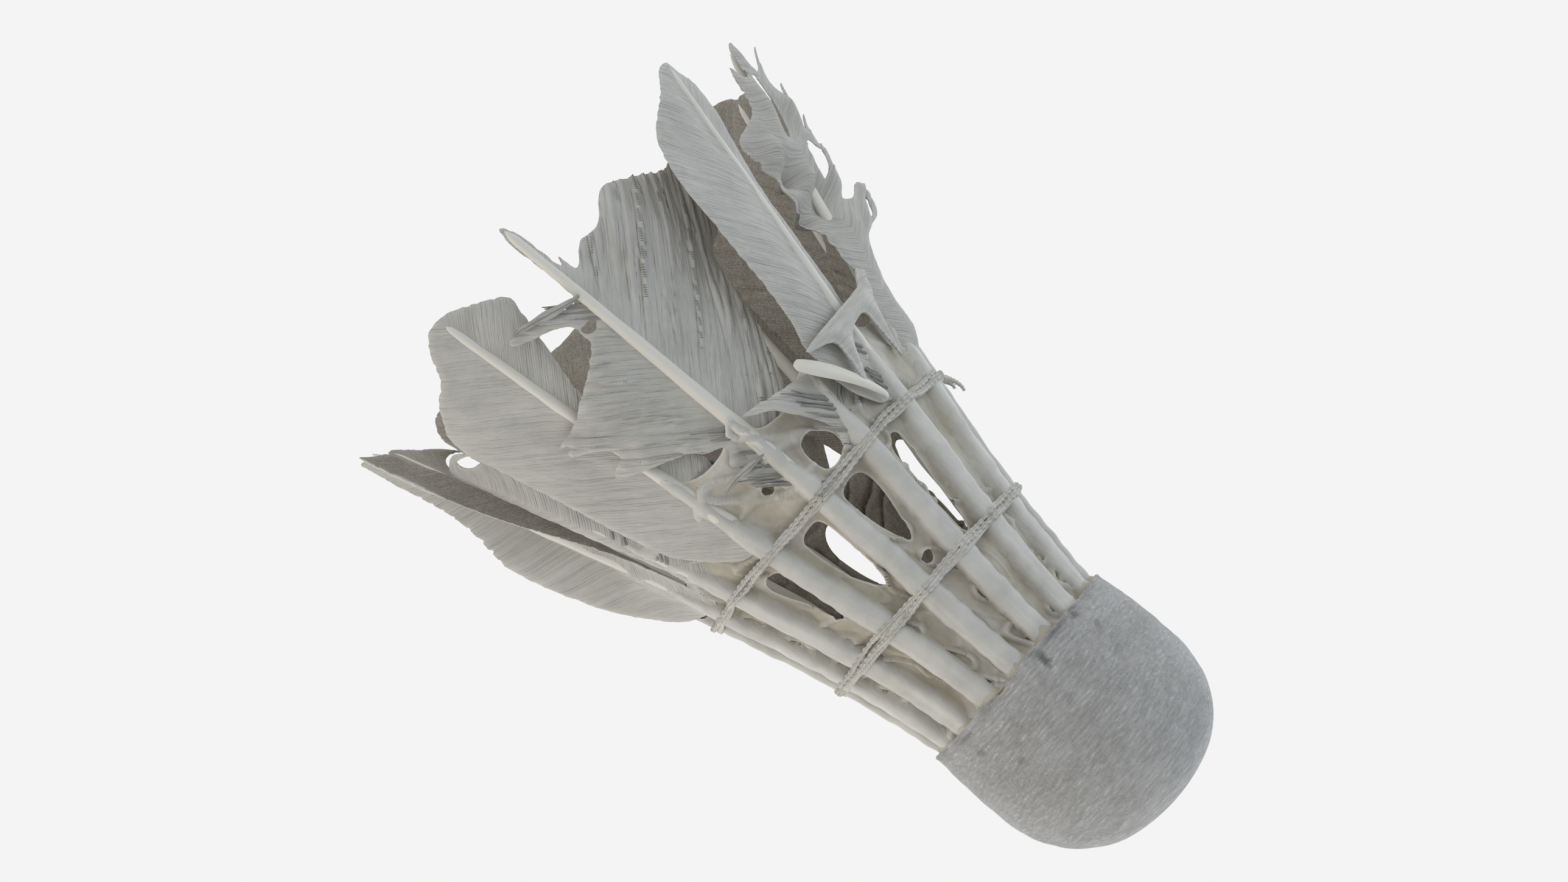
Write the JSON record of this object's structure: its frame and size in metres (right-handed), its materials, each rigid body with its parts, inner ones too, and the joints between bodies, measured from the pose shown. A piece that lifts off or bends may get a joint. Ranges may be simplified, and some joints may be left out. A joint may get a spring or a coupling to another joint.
{
  "type": "badminton shuttlecock",
  "caption": "Feather shuttlecock with a leather-covered cork base, quills glued and tied by two threads into an open conical skirt, with torn and broken feathers",
  "frame": {"origin": "centre of the circle of feather tips, in the plane of the longest tips, on which the shuttlecock stands", "axes": "+Z along the axis from the tips to the nose of the cork; -Y towards feather 1; the other feathers follow it towards -X"},
  "size_m": [0.0583, 0.0614, 0.0879],
  "materials": {
    "leather": "white goat-skin gone grey with use, fine grain",
    "cork": "laminated cork",
    "quill": "keratin stem of a feather, dull",
    "vane": "feather web, barbs matted together",
    "thread": "twisted thread soaked in glue",
    "glue": "dried glue, thin film and beads"
  },
  "bodies": {
    "root": {"leather_cover": "leather", "cork_disc": "cork", "cork_nose": "cork", "stem_01": "quill", "stem_02": "quill", "stem_03": "quill", "stem_04": "quill", "stem_05": "quill", "stem_06": "quill", "stem_07": "quill", "stem_08": "quill", "stem_09": "quill", "stem_10": "quill", "stem_11": "quill", "stem_12": "quill", "stem_13": "quill", "stem_14": "quill", "stem_15": "quill", "stem_16": "quill", "vane_01": "vane", "vane_02": "vane", "vane_03": "vane", "vane_04": "vane", "vane_05": "vane", "vane_06": "vane", "vane_07": "vane", "vane_08": "vane", "vane_09": "vane", "vane_10": "vane", "vane_11": "vane", "vane_12": "vane", "vane_13": "vane", "vane_14": "vane", "vane_15": "vane", "vane_16": "vane", "lower_thread": "thread", "upper_thread": "thread", "stem_glue_beads": "glue", "lower_glue_film": "glue", "upper_glue_film": "glue", "quill_splinter": "quill", "barb_splinter": "vane", "finger_splinter": "quill"}
  },
  "joints": []
}
